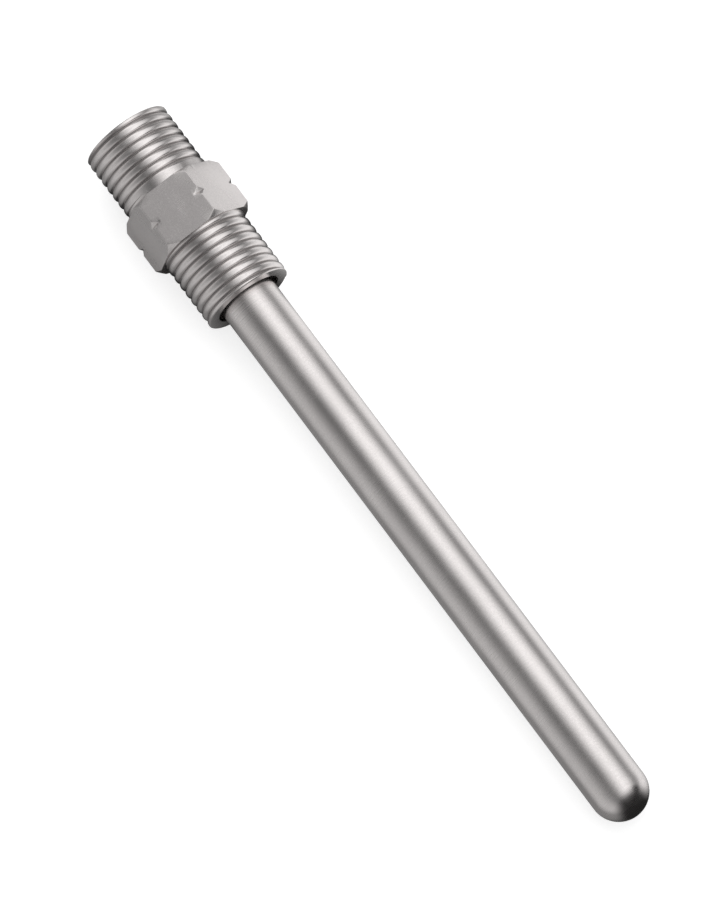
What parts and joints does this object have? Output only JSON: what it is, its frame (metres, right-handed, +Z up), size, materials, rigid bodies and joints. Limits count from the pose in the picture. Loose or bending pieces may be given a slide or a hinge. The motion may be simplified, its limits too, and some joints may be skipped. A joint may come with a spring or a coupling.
{
  "type": "thermowell",
  "caption": "Stainless steel thermowell: a hexagon fitting, male threaded at both ends, with a thin closed tube that carries a temperature sensor into a pipe or tank.",
  "frame": {"origin": "centre of the bounding box at its lowest point: the floor that the part lies on", "axes": "+X towards the closed tip along the lying part, +Z up, and the part's own axis slopes 1.6 degrees down towards the tip"},
  "size_m": [0.1824, 0.0242, 0.0213],
  "materials": {
    "fitting_steel": "satin, turned and milled stainless steel",
    "tube_steel": "fine satin, drawn and polished stainless steel",
    "weld_steel": "rippled weld metal with a slight straw tint"
  },
  "bodies": {
    "root": {"fitting": "fitting_steel", "sheath": "tube_steel", "seal_weld": "weld_steel"}
  },
  "joints": []
}
